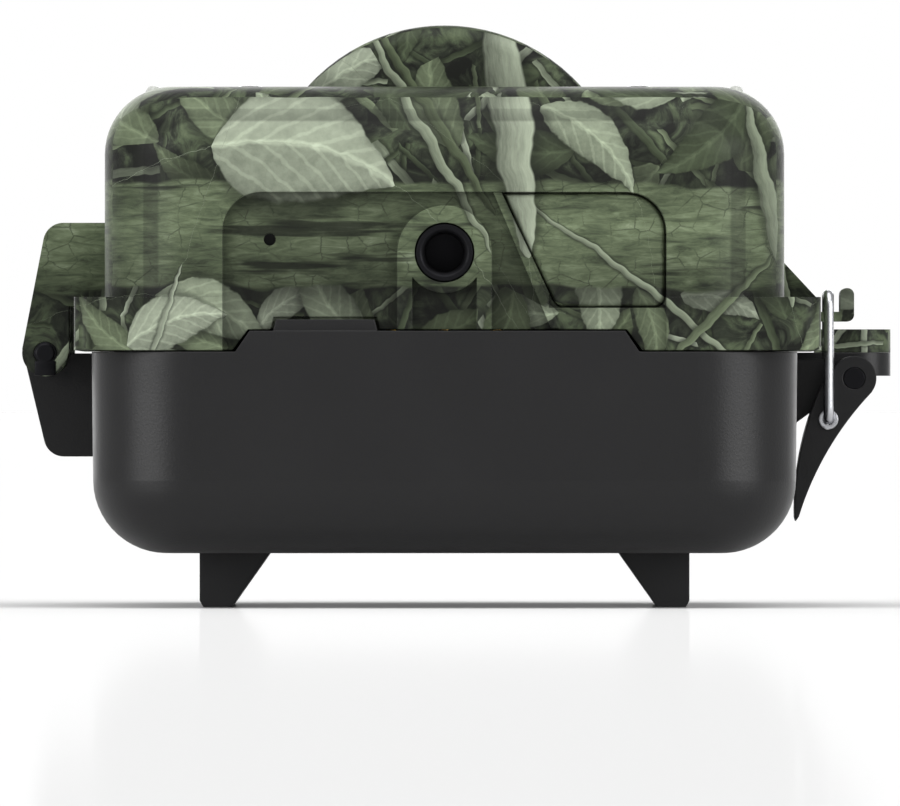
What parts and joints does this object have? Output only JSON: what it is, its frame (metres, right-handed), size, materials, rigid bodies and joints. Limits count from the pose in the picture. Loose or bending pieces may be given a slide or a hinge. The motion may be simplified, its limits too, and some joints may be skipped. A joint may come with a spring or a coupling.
{
  "type": "trail camera",
  "caption": "Camouflaged trail camera that opens like a book on side hinges, with a wire latch, tree brackets and a tripod socket.",
  "frame": {"origin": "under the middle of the whole camera, on the surface it lies on", "axes": "+Z the way the camera looks, as it lies on its back; +Y to its top end; +X to its latch side"},
  "size_m": [0.1172, 0.148, 0.078],
  "materials": {
    "painted_front": "leaf-and-bark camouflage print, satin",
    "dark_plastic": "satin dark grey",
    "rubber": "matt black",
    "steel": "bright wire and pins",
    "dark_metal": "blackened threaded insert",
    "board": "green solder mask",
    "clear": "clear",
    "smoke": "infrared-pass black",
    "milky": "milky white polyethylene",
    "cell": "printed sleeve",
    "screen": "liquid crystal module",
    "panel": "dark grey inner panel",
    "key": "grey silicone",
    "black_plastic": "black",
    "brass": "plated contact"
  },
  "bodies": {
    "rear_half": {"rear_housing": "dark_plastic", "rear_gasket": "rubber", "rear_hasp": "dark_plastic", "tree_bracket_left": "dark_plastic", "tree_bracket_right": "dark_plastic", "bracket_screws": "steel", "battery_tray": "black_plastic", "battery_cells": "cell", "battery_springs": "steel", "battery_contacts": "steel", "power_block": "dark_plastic", "hinge_pin": "steel", "latch_pin": "dark_metal"},
    "front_cover": {"front_shell": "painted_front", "front_hasp": "painted_front", "tripod_insert": "dark_metal", "power_jack": "black_plastic", "usb_socket": "steel", "microphone": "steel", "led_window": "smoke", "led_board": "board", "leds": "clear", "lens_bezel": "black_plastic", "lens_glass": "clear", "lens_barrel": "black_plastic", "lens_element": "clear", "pir_window": "milky", "pir_sensor": "steel", "side_pir_windows": "milky", "side_pir_sensors": "steel", "indicator_light": "clear", "light_sensor": "clear", "main_board": "board", "inner_panel": "panel", "panel_screws": "steel", "screen_glass": "clear", "screen_module": "screen", "key_board": "board", "key_switches": "steel", "mode_switch": "steel", "card_slot": "steel", "power_pins": "brass"},
    "port_flap": {"port_cover": "painted_front"},
    "lever": {"latch_lever": "dark_plastic"},
    "eyelets": {"bail_eyelets": "steel"},
    "bail": {"latch_bail": "steel"},
    "mode_slider": {"mode_knob": "key"},
    "card": {"memory_card": "black_plastic"},
    "key_up": {"key_up": "key"},
    "key_down": {"key_down": "key"},
    "key_left": {"key_left": "key"},
    "key_right": {"key_right": "key"},
    "key_ok": {"key_ok": "key"},
    "key_menu": {"key_menu": "key"}
  },
  "joints": [
    {"name": "cover_hinge", "type": "hinge", "parent": "rear_half", "child": "front_cover", "pos_m": [-0.0555, 0, 0.0341], "axis": [0, -1, 0], "range_deg": [0, 100]},
    {"name": "latch_lever_hinge", "type": "hinge", "parent": "rear_half", "child": "lever", "pos_m": [0.0533, -0.012, 0.03075], "axis": [0, -1, 0], "range_deg": [0, 110]},
    {"name": "bail_eyelet_turn", "type": "hinge", "parent": "lever", "child": "eyelets", "pos_m": [0.04985, -0.012, 0.0252], "axis": [0, -1, 0], "range_deg": [-75, 0]},
    {"name": "bail_swing", "type": "hinge", "parent": "eyelets", "child": "bail", "pos_m": [0.04985, -0.012, 0.0252], "axis": [0, 1, 0], "range_deg": [0, 100]},
    {"name": "port_cover_hinge", "type": "hinge", "parent": "front_cover", "child": "port_flap", "pos_m": [0.02, -0.0719, 0.041], "axis": [1, 0, 0], "range_deg": [0, 90]},
    {"name": "mode_slide", "type": "slide", "parent": "front_cover", "child": "mode_slider", "axis": [0, 1, 0], "range_m": [0, 0.008]},
    {"name": "memory_card_slide", "type": "slide", "parent": "front_cover", "child": "card", "axis": [0, 0, -1], "range_m": [0, 0.012]},
    {"name": "key_up_press", "type": "slide", "parent": "front_cover", "child": "key_up", "axis": [0, 0, 1], "range_m": [0, 0.0005], "stiffness_N_per_m": 400},
    {"name": "key_down_press", "type": "slide", "parent": "front_cover", "child": "key_down", "axis": [0, 0, 1], "range_m": [0, 0.0005], "stiffness_N_per_m": 400},
    {"name": "key_left_press", "type": "slide", "parent": "front_cover", "child": "key_left", "axis": [0, 0, 1], "range_m": [0, 0.0005], "stiffness_N_per_m": 400},
    {"name": "key_right_press", "type": "slide", "parent": "front_cover", "child": "key_right", "axis": [0, 0, 1], "range_m": [0, 0.0005], "stiffness_N_per_m": 400},
    {"name": "key_ok_press", "type": "slide", "parent": "front_cover", "child": "key_ok", "axis": [0, 0, 1], "range_m": [0, 0.0005], "stiffness_N_per_m": 400},
    {"name": "key_menu_press", "type": "slide", "parent": "front_cover", "child": "key_menu", "axis": [0, 0, 1], "range_m": [0, 0.0005], "stiffness_N_per_m": 400}
  ],
  "couplings": [
    {"joint": "bail_eyelet_turn", "follows": "latch_lever_hinge", "ratio": -0.66}
  ]
}
